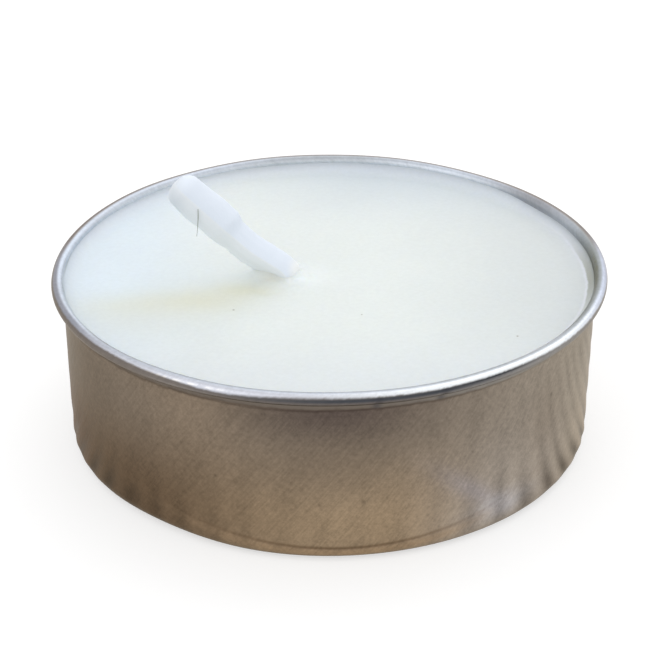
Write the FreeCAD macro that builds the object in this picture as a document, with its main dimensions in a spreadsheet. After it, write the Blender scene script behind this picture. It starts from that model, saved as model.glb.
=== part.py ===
import FreeCAD, Part
import math
import os

import Sketcher

# Tea light candle: a deep-drawn aluminium cup with a curled rim, filled with poured wax,
# and a waxed cotton wick that stands in a tinplate sustainer on the cup's base.
# Millimetres and degrees. The origin is the centre of the standing ring, +Z is up and
# the wick leans towards -X, pressed over just above the wax. It and its sustainer stand a
# little off the middle, where the sustainer slid as the wax was poured.

PARTS_FOLDER = "parts"

doc = FreeCAD.newDocument("tea_light_candle")
sizes = doc.addObject("Spreadsheet::Sheet", "sizes")

DIMENSIONS = (
    ("rim_diameter", 38.0, "over the curled rim"),
    ("cup_height", 12.5, "standing ring to the top of the curl"),
    ("sheet", 0.15, "thickness of the aluminium sheet"),
    ("curl_radius", 0.42, "outside radius of the curled edge"),
    ("curl_turn", 290.0, "how far round the edge is curled, in degrees"),
    ("collar_height", 0.65, "upright band between the curl and the crease"),
    ("crease_step", 0.06, "how far the wall steps in at the crease"),
    ("crease_height", 0.15, "height over which it steps in"),
    ("wall_draft", 0.05, "how much the wall closes in from the crease to the foot"),
    ("foot_corner", 1.0, "outside radius between the wall and the base"),
    ("ring_width", 2.9, "flat standing ring round the base"),
    ("panel_rise", 0.4, "how far the middle of the base is raised off the ring"),
    ("panel_slope", 1.2, "width of the slope round the raised panel"),
    ("wrinkle_count", 48, "draw wrinkles round the wall"),
    ("wrinkle_depth", 0.07, "crest to valley"),
    ("wrinkle_twist", 1.0, "degrees that a wrinkle turns in each millimetre of height"),
    ("rim_to_wax", 1.0, "surface of the wax below the top of the curl"),
    ("meniscus_rise", 0.4, "how far the wax climbs the wall"),
    ("meniscus_width", 0.8, "how far from the wall it starts to climb"),
    ("collar_rise", 0.45, "how far it climbs the wick"),
    ("collar_width", 0.7, "how far from the wick it starts to climb"),
    ("tab_diameter", 12.5, "foot of the sustainer"),
    ("tab_sheet", 0.2, "thickness of the tinplate"),
    ("tab_fillet", 0.4, "radius between the foot and its neck"),
    ("neck_height", 3.0, "top of the neck above the underside of the foot"),
    ("crimp_height", 0.9, "height of the waist that grips the wick"),
    ("crimp_depth", 0.12, "how far the waist is squeezed in"),
    ("wick_diameter", 2.05, "waxed cotton wick"),
    ("wick_heading", 177.0, "where it leans to, in degrees from +X about +Z"),
    ("wick_offset", 2.85, "how far it and the sustainer stand off the cup's middle"),
    ("wick_bearing", 191.0, "where they stand, seen from the middle, in the same degrees"),
    ("bend_height", 0.28, "height above the wax of the corner where it is pressed over"),
    ("bend_radius", 1.7, "radius of that turn, at the wick's middle"),
    ("wick_lean", 56.0, "lean from upright past the corner, in degrees"),
    ("wick_length", 9.95, "from the corner to the tip"),
    ("kink_length", 3.15, "from the corner to where it turns up a little"),
    ("kink_radius", 8.0, "radius of that second turn"),
    ("tip_lean", 46.0, "lean of the free end from upright, in degrees"),
    ("dipped_length", 5.55, "the free end, dipped in wax once more"),
    ("dipped_diameter", 2.7, "where the dip is thickest, just past its edge"),
    ("dip_edge", 0.7, "length over which the dip thins out to the wick"),
    ("tip_diameter", 2.4, "where the tip begins to round"),
    ("tip_round", 0.9, "radius round the tip"),
)

for line, (alias, value, note) in enumerate(DIMENSIONS, start=1):
    sizes.set(f"A{line}", alias)
    sizes.set(f"B{line}", str(value))
    sizes.set(f"C{line}", note)
    sizes.setAlias(f"B{line}", alias)
doc.recompute()

# Places that several pieces share, each written once from the cells above.
RIM = "sizes.rim_diameter / 2"
CURL_MIDDLE = f"({RIM} - sizes.curl_radius)"
CURL_LEVEL = "(sizes.cup_height - sizes.curl_radius)"
COLLAR_OUTSIDE = f"({RIM} - 2 * sizes.curl_radius + sizes.sheet)"
CREASE_LEVEL = "(sizes.cup_height - 2 * sizes.curl_radius - sizes.collar_height)"
CREASE_OUTSIDE = f"({COLLAR_OUTSIDE} - sizes.crease_step)"
FOOT_OUTSIDE = f"({CREASE_OUTSIDE} - sizes.wall_draft)"
FOOT_MIDDLE = f"({FOOT_OUTSIDE} - sizes.foot_corner)"
SLOPE_FOOT = f"({FOOT_MIDDLE} - sizes.ring_width)"
PANEL_EDGE = f"({SLOPE_FOOT} - sizes.panel_slope)"
PANEL_TOP = "(sizes.panel_rise + sizes.sheet)"
WAX_LEVEL = "(sizes.cup_height - sizes.rim_to_wax)"
WICK = "sizes.wick_diameter / 2"
WICK_ACROSS = "(sizes.wick_offset * cos(sizes.wick_bearing))"
WICK_ALONG = "(sizes.wick_offset * sin(sizes.wick_bearing))"


def size(expression):
    """The number that an expression on the sheet's cells comes to."""
    result = sizes.evalExpression(expression)
    return result.Value if hasattr(result, "Value") else float(result)


def pin(sketch, geometry, end, across, up):
    """Hold one end of a sketch line or arc at a place given by two expressions."""
    for kind, axis, expression in (("DistanceX", -2, across), ("DistanceY", -1, up)):
        if expression == "0":
            sketch.addConstraint(Sketcher.Constraint("PointOnObject", geometry, end, axis))
            continue
        origin_to_end = Sketcher.Constraint(kind, -1, 1, geometry, end, size(expression))
        index = sketch.addConstraint(origin_to_end)
        sketch.setExpression(f"Constraints[{index}]", expression)


def arc_between(first, last, middle, radius, turns_left):
    """The arc round a middle from the first point to the last, either way round."""
    start, stop = (first, last) if turns_left else (last, first)
    angle = math.atan2(start.y - middle.y, start.x - middle.x)
    end_angle = math.atan2(stop.y - middle.y, stop.x - middle.x)
    if end_angle <= angle:
        end_angle += 2 * math.pi
    circle = Part.Circle(middle, FreeCAD.Vector(0, 0, 1), radius)
    return Part.ArcOfCircle(circle, angle, end_angle)


def draw(sketch, corners, closed=True):
    """Draw an outline through corners (across, up[, arc to the next corner]).

    An arc is (middle across, middle up, radius, whether it turns left).
    """
    places = [FreeCAD.Vector(size(corner[0]), size(corner[1]), 0) for corner in corners]
    count = len(corners) if closed else len(corners) - 1
    ends = []
    for index in range(count):
        first, last = places[index], places[(index + 1) % len(places)]
        if len(corners[index]) == 2:
            ends.append((sketch.addGeometry(Part.LineSegment(first, last)), 1, 2))
            continue
        across, up, radius, turns_left = corners[index][2]
        middle = FreeCAD.Vector(size(across), size(up), 0)
        arc = arc_between(first, last, middle, size(radius), turns_left)
        geometry = sketch.addGeometry(arc)
        ends.append((geometry, 1, 2) if turns_left else (geometry, 2, 1))
    for index, (geometry, start, stop) in enumerate(ends):
        pin(sketch, geometry, start, corners[index][0], corners[index][1])
        if closed or index + 1 < count:
            following = ends[(index + 1) % count]
            join = Sketcher.Constraint("Coincident", geometry, stop, following[0], following[1])
            sketch.addConstraint(join)
        else:
            pin(sketch, geometry, stop, corners[-1][0], corners[-1][1])
        if len(corners[index]) > 2:
            radius = corners[index][2][2]
            held = Sketcher.Constraint("Radius", geometry, size(radius))
            sketch.setExpression(f"Constraints[{sketch.addConstraint(held)}]", radius)


def new_sketch(body, name, role, lift=None):
    """A sketch on one of its own body's origin planes, lifted off it if need be."""
    sketch = body.newObject("Sketcher::SketchObject", name)
    plane = next(item for item in body.Origin.OriginFeatures if item.Role == role)
    sketch.AttachmentSupport = (plane, "")
    sketch.MapMode = "FlatFace"
    if lift is not None:
        sketch.setExpression("AttachmentOffset.Base.z", lift)
    return sketch


def turned(name, corners):
    """A body turned about its upright axis from one closed outline."""
    body = doc.addObject("PartDesign::Body", name)
    sketch = new_sketch(body, name + "_outline", "XZ_Plane")
    draw(sketch, corners)
    revolution = body.newObject("PartDesign::Revolution", name + "_turned")
    revolution.Profile = sketch
    revolution.ReferenceAxis = (sketch, ["V_Axis"])
    revolution.Angle = 360
    doc.recompute()
    return body


def stand_off_middle(feature):
    """Set a piece made round the Z axis to where the wick stands."""
    feature.Placement.Base = FreeCAD.Vector(size(WICK_ACROSS), size(WICK_ALONG), 0)
    feature.setExpression("Placement.Base.x", WICK_ACROSS)
    feature.setExpression("Placement.Base.y", WICK_ALONG)
    doc.recompute()
    return feature


def combined(kind, name, **links):
    """A Part boolean of the given kind."""
    result = doc.addObject("Part::" + kind, name)
    for link, target in links.items():
        setattr(result, link, target)
    result.Refine = False
    doc.recompute()
    return result


def make_base():
    """Raised base panel, standing ring and foot corner, all one sheet thick."""
    inner_corner = "(sizes.foot_corner - sizes.sheet)"
    outside = (FOOT_MIDDLE, "sizes.foot_corner", "sizes.foot_corner", True)
    inside = (FOOT_MIDDLE, "sizes.foot_corner", inner_corner, False)
    return turned("cup_base", [
        ("0", "sizes.panel_rise"),
        (PANEL_EDGE, "sizes.panel_rise"),
        (SLOPE_FOOT, "0"),
        (FOOT_MIDDLE, "0", outside),
        (FOOT_OUTSIDE, "sizes.foot_corner"),
        (f"({FOOT_OUTSIDE} - sizes.sheet)", "sizes.foot_corner", inside),
        (FOOT_MIDDLE, "sizes.sheet"),
        (SLOPE_FOOT, "sizes.sheet"),
        (PANEL_EDGE, PANEL_TOP),
        ("0", PANEL_TOP),
    ])


def make_rim():
    """Crease, upright collar and the edge curled outwards and down."""
    turn = "(180 - sizes.curl_turn)"
    hollow = "(sizes.curl_radius - sizes.sheet)"
    collar_foot = f"({CREASE_LEVEL} + sizes.crease_height)"
    under = (CURL_MIDDLE, CURL_LEVEL, hollow, False)
    over = (CURL_MIDDLE, CURL_LEVEL, "sizes.curl_radius", True)
    return turned("cup_rim", [
        (CREASE_OUTSIDE, CREASE_LEVEL),
        (COLLAR_OUTSIDE, collar_foot),
        (COLLAR_OUTSIDE, CURL_LEVEL, under),
        (f"({CURL_MIDDLE} + {hollow} * cos({turn}))", f"({CURL_LEVEL} + {hollow} * sin({turn}))"),
        (f"({CURL_MIDDLE} + sizes.curl_radius * cos({turn}))",
         f"({CURL_LEVEL} + sizes.curl_radius * sin({turn}))", over),
        (f"({COLLAR_OUTSIDE} - sizes.sheet)", CURL_LEVEL),
        (f"({COLLAR_OUTSIDE} - sizes.sheet)", collar_foot),
        (f"({CREASE_OUTSIDE} - sizes.sheet)", CREASE_LEVEL),
    ])


def wrinkled_ring(level, radius, depth, turn):
    """One closed curve round the wall, waved between its radius and a depth inside it."""
    waves = round(size("sizes.wrinkle_count"))
    points_per_wave = 4
    count = waves * points_per_wave
    points = []
    for index in range(count):
        angle = 2 * math.pi * index / count
        reach = radius - depth * (1 - math.cos(waves * angle)) / 2
        angle += turn
        points.append(FreeCAD.Vector(reach * math.cos(angle), reach * math.sin(angle), level))
    curve = Part.BSplineCurve()
    curve.interpolate(Points=points, PeriodicFlag=True,
                      Parameters=[index / count for index in range(count + 1)])
    return Part.Wire([curve.toShape()])


def make_wall():
    """The drawn wall: helical wrinkles outside, ironed flat against the punch inside.

    The wrinkles fade out at the foot corner and at the crease, where the sheet is round.
    """
    foot, crease = size("sizes.foot_corner"), size(CREASE_LEVEL)
    foot_outside, crease_outside = size(FOOT_OUTSIDE), size(CREASE_OUTSIDE)
    sheet, depth = size("sizes.sheet"), size("sizes.wrinkle_depth")
    twist = math.radians(size("sizes.wrinkle_twist"))
    fades = (0.0, 1.0, 1.0, 0.8, 0.5, 0.0)
    rings = []
    for index, fade in enumerate(fades):
        share = index / (len(fades) - 1)
        level = foot + (crease - foot) * share
        radius = foot_outside + (crease_outside - foot_outside) * share
        rings.append(wrinkled_ring(level, radius, depth * fade, -twist * (level - foot)))
    outside = Part.makeLoft(rings, True, False)
    inside = Part.makeCone(foot_outside - sheet, crease_outside - sheet, crease - foot,
                           FreeCAD.Vector(0, 0, foot))
    wall = doc.addObject("Part::Feature", "cup_wall")
    wall.Shape = outside.cut(inside)
    wall.Placement = FreeCAD.Placement()
    return wall


def make_cup():
    """The whole cup, drawn from one blank of sheet."""
    pieces = [make_base(), make_wall(), make_rim()]
    return combined("MultiFuse", "cup", Shapes=pieces)


def make_sustainer():
    """Flat round foot with a neck drawn up from it and squeezed round the wick."""
    neck = f"({WICK} + sizes.tab_sheet)"
    root = f"({PANEL_TOP} + sizes.tab_sheet)"
    top = f"({PANEL_TOP} + sizes.neck_height)"
    middle = f"({root} + {top}) / 2"
    low, high = f"({middle} - sizes.crimp_height / 2)", f"({middle} + sizes.crimp_height / 2)"
    half_squared = "(sizes.crimp_height / 2) ^ 2"
    curve = f"(({half_squared} + sizes.crimp_depth ^ 2) / (2 * sizes.crimp_depth))"
    outside = (f"({neck} - sizes.crimp_depth + {curve})", middle, curve, False)
    inside = (f"({WICK} - sizes.crimp_depth + {curve})", middle, curve, True)
    fillet = (f"({neck} + sizes.tab_fillet)", f"({root} + sizes.tab_fillet)",
              "sizes.tab_fillet", False)
    return stand_off_middle(turned("wick_sustainer", [
        (WICK, PANEL_TOP),
        ("sizes.tab_diameter / 2", PANEL_TOP),
        ("sizes.tab_diameter / 2", root),
        (f"({neck} + sizes.tab_fillet)", root, fillet),
        (neck, f"({root} + sizes.tab_fillet)"),
        (neck, low, outside),
        (neck, high),
        (neck, top),
        (WICK, top),
        (WICK, high, inside),
        (WICK, low),
    ]))


def make_wick(sustainer):
    """Upright in the sustainer and the wax, pressed over outside it, with a dipped end."""
    corner = f"({WAX_LEVEL} + sizes.bend_height)"
    run = "(sizes.bend_radius * tan(sizes.wick_lean / 2))"
    bend_start = f"({corner} - {run})"
    bend = ("sizes.bend_radius", bend_start, "sizes.bend_radius", False)

    def leaning(length):
        """The place that lies a length past the first corner, along the leaning wick."""
        return (f"({length} * sin(sizes.wick_lean))",
                f"({corner} + {length} * cos(sizes.wick_lean))")

    kink_run = "(sizes.kink_radius * tan((sizes.wick_lean - sizes.tip_lean) / 2))"
    kink_corner = leaning("sizes.kink_length")
    kink_start = leaning(f"(sizes.kink_length - {kink_run})")
    kink_middle = (f"({kink_start[0]} - sizes.kink_radius * cos(sizes.wick_lean))",
                   f"({kink_start[1]} + sizes.kink_radius * sin(sizes.wick_lean))")
    kink = (*kink_middle, "sizes.kink_radius", True)

    def rising(length):
        """The place that lies a length past the second corner, along the free end."""
        return (f"({kink_corner[0]} + {length} * sin(sizes.tip_lean))",
                f"({kink_corner[1]} + {length} * cos(sizes.tip_lean))")

    dip_start = rising("(sizes.wick_length - sizes.kink_length - sizes.dipped_length)")

    stem = doc.addObject("PartDesign::Body", "wick_stem")
    route = new_sketch(stem, "wick_route", "XZ_Plane")
    draw(route, [
        ("0", PANEL_TOP),
        ("0", bend_start, bend),
        leaning(run),
        (*kink_start, kink),
        rising(kink_run),
        dip_start,
    ], closed=False)
    section = new_sketch(stem, "wick_section", "XY_Plane", lift=PANEL_TOP)
    section.addGeometry(Part.Circle(FreeCAD.Vector(), FreeCAD.Vector(0, 0, 1), size(WICK)))
    section.addConstraint(Sketcher.Constraint("Coincident", 0, 3, -1, 1))
    held = section.addConstraint(Sketcher.Constraint("Radius", 0, size(WICK)))
    section.setExpression(f"Constraints[{held}]", WICK)
    pipe = stem.newObject("PartDesign::AdditivePipe", "wick_pipe")
    pipe.Profile = section
    pipe.Spine = (route, [f"Edge{number + 1}" for number in range(route.GeometryCount)])
    doc.recompute()

    tip_level = "(sizes.dipped_length - sizes.tip_round)"
    tip_middle = "(sizes.tip_diameter / 2 - sizes.tip_round)"
    tip = (tip_middle, tip_level, "sizes.tip_round", True)
    dipped = turned("wick_dipped_end", [
        ("0", "0"),
        (WICK, "0"),
        ("sizes.dipped_diameter / 2", "sizes.dip_edge"),
        ("sizes.tip_diameter / 2", tip_level, tip),
        (tip_middle, "sizes.dipped_length"),
        ("0", "sizes.dipped_length"),
    ])
    dipped.Placement = FreeCAD.Placement(
        FreeCAD.Vector(size(dip_start[0]), 0, size(dip_start[1])),
        FreeCAD.Rotation(FreeCAD.Vector(0, 1, 0), size("sizes.tip_lean")))
    dipped.setExpression("Placement.Base.x", dip_start[0])
    dipped.setExpression("Placement.Base.z", dip_start[1])
    dipped.setExpression("Placement.Rotation.Angle", "sizes.tip_lean")
    doc.recompute()

    whole = stand_off_middle(combined("MultiFuse", "wick_uncrimped", Shapes=[stem, dipped]))
    whole.setExpression("Placement.Rotation.Angle", "sizes.wick_heading")
    doc.recompute()
    return combined("Cut", "wick", Base=whole, Tool=sustainer)


def make_wax(cup, sustainer, wick):
    """Wax poured round the rest: it takes the shape of all that it touches.

    The pour runs up the middle of the cup's sheet, to its brim. The air over the wax is
    taken away, with the curve by which the wax climbs the wall, and then the cup is. A
    collar like it, which climbs the wick, is added.
    """
    half = "sizes.sheet / 2"
    foot = (FOOT_MIDDLE, "sizes.foot_corner", f"(sizes.foot_corner - {half})", True)
    poured = turned("wax_poured", [
        ("0", f"(sizes.panel_rise + {half})"),
        (PANEL_EDGE, f"(sizes.panel_rise + {half})"),
        (SLOPE_FOOT, half),
        (FOOT_MIDDLE, half, foot),
        (f"({FOOT_OUTSIDE} - {half})", "sizes.foot_corner"),
        (f"({CREASE_OUTSIDE} - {half})", CREASE_LEVEL),
        (f"({COLLAR_OUTSIDE} - {half})", f"({CREASE_LEVEL} + sizes.crease_height)"),
        (f"({COLLAR_OUTSIDE} - {half})", CURL_LEVEL),
        ("0", CURL_LEVEL),
    ])
    climb = f"({WAX_LEVEL} + sizes.meniscus_rise)"
    brim = f"({climb} + sizes.cup_height)"
    wall = f"({COLLAR_OUTSIDE} - sizes.sheet)"
    start = f"({wall} - sizes.meniscus_width)"
    curve = "((sizes.meniscus_width ^ 2 + sizes.meniscus_rise ^ 2) / (2 * sizes.meniscus_rise))"
    meniscus = (start, f"({WAX_LEVEL} + {curve})", curve, True)
    air = turned("air_over_wax", [
        ("0", WAX_LEVEL),
        (start, WAX_LEVEL, meniscus),
        (wall, climb),
        (RIM, climb),
        (RIM, brim),
        ("0", brim),
    ])
    level = combined("Cut", "wax_levelled", Base=poured, Tool=air)
    edge = f"({WICK} + sizes.collar_width)"
    bow = "((sizes.collar_width ^ 2 + sizes.collar_rise ^ 2) / (2 * sizes.collar_rise))"
    slope = (edge, f"({WAX_LEVEL} + {bow})", bow, False)
    top = f"({WAX_LEVEL} + sizes.collar_rise)"
    collar = stand_off_middle(turned("wax_round_wick", [
        ("0", WAX_LEVEL),
        (edge, WAX_LEVEL, slope),
        (WICK, top),
        ("0", top),
    ]))
    whole = combined("MultiFuse", "wax_with_collar", Shapes=[level, collar])
    in_cup = combined("Cut", "wax_in_cup", Base=whole, Tool=cup)
    round_tab = combined("Cut", "wax_round_tab", Base=in_cup, Tool=sustainer)
    return combined("Cut", "wax", Base=round_tab, Tool=wick)


def check(features):
    """Stop if an object failed to compute or a piece isn't one valid solid."""
    for item in doc.Objects:
        if "Invalid" in item.State or "Error" in item.State:
            raise RuntimeError(f"{item.Name} failed: {item.State}")
    for feature in features:
        shape = feature.Shape
        if shape.isNull() or not shape.isValid() or len(shape.Solids) != 1:
            raise RuntimeError(f"{feature.Label} isn't one valid solid")


def main():
    cup = make_cup()
    sustainer = make_sustainer()
    wick = make_wick(sustainer)
    wax = make_wax(cup, sustainer, wick)
    pieces = {"cup": cup, "wax": wax, "wick": wick, "wick_sustainer": sustainer}
    doc.recompute()
    check(pieces.values())
    os.makedirs(PARTS_FOLDER, exist_ok=True)
    for name, feature in pieces.items():
        feature.Label = name
        feature.Shape.exportStep(os.path.join(PARTS_FOLDER, name + ".step"))
        box = feature.Shape.optimalBoundingBox()
        print(name, round(feature.Shape.Volume, 2), "mm3, from",
              [round(value, 3) for value in (box.XMin, box.YMin, box.ZMin)], "to",
              [round(value, 3) for value in (box.XMax, box.YMax, box.ZMax)])


main()
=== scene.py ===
import math

import bpy
import numpy as np
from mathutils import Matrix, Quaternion, Vector


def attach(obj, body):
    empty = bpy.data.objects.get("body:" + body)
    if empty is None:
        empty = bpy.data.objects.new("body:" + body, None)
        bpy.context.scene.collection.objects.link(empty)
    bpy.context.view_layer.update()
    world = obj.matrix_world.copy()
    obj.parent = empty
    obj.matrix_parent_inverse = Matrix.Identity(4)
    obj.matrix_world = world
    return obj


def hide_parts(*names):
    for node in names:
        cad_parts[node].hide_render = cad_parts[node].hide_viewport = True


# A tea light candle. Shapes are worked out in millimetres and put into metres as each mesh
# is made. The wick leans towards -X and the photograph was taken from -Y.
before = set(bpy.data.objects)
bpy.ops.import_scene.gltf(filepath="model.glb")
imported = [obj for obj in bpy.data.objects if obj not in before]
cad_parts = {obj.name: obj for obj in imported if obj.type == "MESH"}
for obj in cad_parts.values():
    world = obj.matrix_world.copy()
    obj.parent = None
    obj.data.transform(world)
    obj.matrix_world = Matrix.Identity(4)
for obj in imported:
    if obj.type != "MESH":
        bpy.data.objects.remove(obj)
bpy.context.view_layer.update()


# The cup is one disc of bright aluminium sheet, pressed over a punch into a shallow pot.
# Pressing leaves slanting wrinkles round the wall and a crease under the rim, and the cut
# edge is curled outwards and down so that it isn't sharp.
MILLIMETRE = 0.001
RIM_RADIUS = 19.0
CUP_HEIGHT = 12.5
SHEET = 0.15
CURL_RADIUS = 0.42
CURL_TURN = 303
CREASE_LEVEL = 11.01
CREASE_HEIGHT = 0.15
CREASE_STEP = 0.06
WALL_DRAFT = 0.05
FOOT_CORNER = 1.0
RING_WIDTH = 2.9
PANEL_RISE = 0.4
PANEL_SLOPE = 1.2
WRINKLES = 48
WRINKLE_DEPTH = 0.085
WRINKLE_FAN = 3.0
NOTCHES = (9.1, 22.0)
NOTCH_WIDTH = 0.6
NOTCH_DEPTH = 0.05
KNOCK_DEGREES = -38
KNOCK_WIDTH = 16
KNOCK_DEPTH = 0.16

CURL_MIDDLE = RIM_RADIUS - CURL_RADIUS
CURL_LEVEL = CUP_HEIGHT - CURL_RADIUS
COLLAR_OUTSIDE = CURL_MIDDLE - CURL_RADIUS + SHEET
CREASE_OUTSIDE = COLLAR_OUTSIDE - CREASE_STEP
FOOT_OUTSIDE = CREASE_OUTSIDE - WALL_DRAFT
FOOT_MIDDLE = FOOT_OUTSIDE - FOOT_CORNER
SLOPE_FOOT = FOOT_MIDDLE - RING_WIDTH
BASE_EDGE = 15
COLUMNS_ROUND_CUP = 624


def eased(share):
    """0 below 0, 1 above 1, and between them three squares less two cubes of the share."""
    share = np.clip(share, 0, 1)
    return share * share * (3 - 2 * share)


def bump_at(value, middle, width):
    """The bell curve: e to the minus square of the distance from the middle, in widths."""
    return np.exp(-((value - middle) / width) ** 2)


def arc(middle, radius, first, last, count):
    """The middle plus the radius times the cosine and sine of evenly spread degrees."""
    turn = np.radians(np.linspace(first, last, count))
    across = middle[0] + radius * np.cos(turn)
    up = middle[1] + radius * np.sin(turn)
    return np.stack([across, up], axis=1)


def base_curve(radii, lift):
    """Level on the ring, then up by the panel's rise in one smooth step, plus the lift."""
    rise = PANEL_RISE * eased((SLOPE_FOOT - radii) / PANEL_SLOPE)
    return np.stack([radii, rise + lift], axis=1)


def wall_curve(levels, inwards):
    """A straight taper, a smooth step out at the crease with a small lip, less inwards."""
    taper = np.interp(levels, [FOOT_CORNER, CREASE_LEVEL], [FOOT_OUTSIDE, CREASE_OUTSIDE])
    step = CREASE_STEP * eased((levels - CREASE_LEVEL) / CREASE_HEIGHT)
    lip = 0.02 * bump_at(levels, CREASE_LEVEL - 0.22, 0.12)
    return np.stack([taper + step + lip - inwards, levels], axis=1)


curl_centre = (CURL_MIDDLE, CURL_LEVEL)
cut_edge = 180 - CURL_TURN
past_cut = cut_edge - 8
curl_end = 176
FOOT_ROWS = 9
HOLLOW_ROWS = 11
CURL_ROWS = 42
INNER_FOOT_ROWS = 4
base_radii = np.concatenate([np.linspace(0, 12.8, 6), np.linspace(13.1, 14.5, 8),
                             np.linspace(14.8, FOOT_MIDDLE - 0.1, 5)])
wall_levels = np.concatenate([np.linspace(FOOT_CORNER + 0.25, CREASE_LEVEL - 0.5, 38),
                              np.linspace(CREASE_LEVEL - 0.4, CREASE_LEVEL + 0.3, 14),
                              np.linspace(CREASE_LEVEL + 0.4, CURL_LEVEL - 0.05, 5)])
inner_levels = np.array([CURL_LEVEL, CREASE_LEVEL + 0.3, CREASE_LEVEL, 8.0, 4.0, FOOT_CORNER])
inner_radii = np.array([SLOPE_FOOT, 13.7, 13.1, 0.0])
outside_rows = len(base_radii) + FOOT_ROWS + len(wall_levels)
cup_outline = np.concatenate([
    base_curve(base_radii, 0),
    arc((FOOT_MIDDLE, FOOT_CORNER), FOOT_CORNER, -90, 0, FOOT_ROWS),
    wall_curve(wall_levels, 0),
    arc(curl_centre, CURL_RADIUS - SHEET, 180, cut_edge, HOLLOW_ROWS),
    arc(curl_centre, CURL_RADIUS - SHEET * 0.5, past_cut, past_cut, 1),
    arc(curl_centre, CURL_RADIUS, cut_edge, curl_end, CURL_ROWS),
    wall_curve(inner_levels, SHEET),
    arc((FOOT_MIDDLE, FOOT_CORNER), FOOT_CORNER - SHEET, -20, -90, INNER_FOOT_ROWS),
    base_curve(inner_radii, SHEET),
])

# For each row of the outline, the degrees round the curl from its outermost line: -123 at
# the cut edge and 90 on top. The wall outside, the curl's hollow and the inside of the cup
# have one number each, beyond the two ends.
WALL_MARK = -140.0
HOLLOW_MARK = -130.0
INSIDE_MARK = 190.0
cup_curl = np.concatenate([
    np.full(outside_rows, WALL_MARK),
    np.full(HOLLOW_ROWS + 1, HOLLOW_MARK),
    np.linspace(cut_edge, curl_end, CURL_ROWS),
    np.full(len(inner_levels) + INNER_FOOT_ROWS + len(inner_radii), INSIDE_MARK),
])


def around(columns):
    """Evenly spread angles for one turn, in radians, without the repeated last one."""
    return np.linspace(0, 2 * math.pi, columns, endpoint=False)


def front_degrees(angle):
    """Degrees round the Z axis from the front (-Y), positive to the right, -180 to 180."""
    return np.degrees(np.arctan2(np.cos(angle), -np.sin(angle)))


def wrinkle_crest(angle, level):
    """0 in a valley and 1 on a crest: a cosine of the angle, turned on as the wall goes up.

    It turns on past 35 degrees from the front, by up to the fan's degrees for each
    millimetre, and less at the back, so the wrinkles stand upright at the front and fan out
    at the sides. Slow sines shift them, so that no two are alike.
    """
    degrees = front_degrees(angle)
    sideways = eased((abs(degrees) - 35) / 38) * eased((165 - abs(degrees)) / 60)
    turned = np.radians(degrees + np.sign(degrees) * WRINKLE_FAN * sideways * (level - 2))
    drift = 3.2 * np.sin(turned) - 5.6 * np.cos(turned) + 0.3 * np.sin(19 * turned)
    drift = drift - 2.4 * np.sin(2 * turned) + 2.5 * np.cos(2 * turned) - 1.73
    wave = (1 - np.cos(WRINKLES * turned + drift)) / 2
    return wave ** 0.8


def wrinkle_strength(angle, level):
    """How deep the wrinkles are: least at the front, where the punch ironed the wall.

    They are deep at the foot and fade upwards, sooner on the left than on the right, where
    they run on almost to the crease.
    """
    degrees = front_degrees(angle)
    ironed = 0.9 * bump_at(degrees, 2, 40)
    uneven = 0.85 + 0.15 * np.sin(5 * angle + 0.6) * np.sin(11 * angle)
    rising = 0.2 + 0.8 * eased((6.2 - level) / 4.8)
    rising = rising + 0.25 * eased((degrees - 46) / 14) * eased((level - 3) / 3)
    milder = eased((-10 - degrees) / 20) * (1 - eased((level - 1.5) / 2) * 0.4 - 0.25)
    side = np.where(degrees < -10, 1 - eased((-10 - degrees) / 20) + milder, 1)
    ends = eased((CREASE_LEVEL - 0.1 - level) / 1.2) * eased((level - 0.15) / 0.7)
    return (1 - ironed) * uneven * rising * side * ends


def towards_rim(level):
    """0 low on the wall and 1 at the rim, with one smooth rise between."""
    return eased((level - 3) / 9)


def pressed_in(angle, level):
    """How far the rim has been bent inwards in use: at the left and at the back right."""
    degrees = front_degrees(angle)
    bent = 0.13 * bump_at(degrees, -100, 26) + 0.09 * bump_at(degrees, 136, 16)
    return bent * towards_rim(level)


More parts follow.
